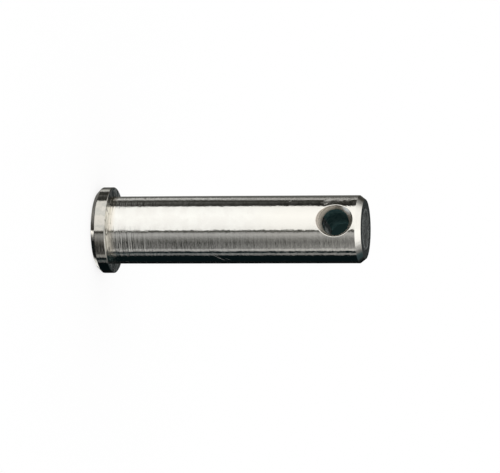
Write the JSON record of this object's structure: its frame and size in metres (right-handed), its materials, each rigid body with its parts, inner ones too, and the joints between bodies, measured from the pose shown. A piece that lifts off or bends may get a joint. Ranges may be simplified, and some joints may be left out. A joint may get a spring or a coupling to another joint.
{
  "type": "clevis pin",
  "caption": "Turned steel clevis pin: flat chamfered head, plain round shank, and a countersunk cross hole near the tip for a split pin.",
  "frame": {"origin": "centre of the head's flat outer face, which the pin stands on", "axes": "+Z along the pin from the head to the tip; the cross hole runs along Y; X is square to both"},
  "size_m": [0.01, 0.01, 0.0318],
  "materials": {
    "turned_steel": "bright turned stainless steel with fine rings left by the tool"
  },
  "bodies": {
    "root": {"clevis_pin": "turned_steel"}
  },
  "joints": []
}
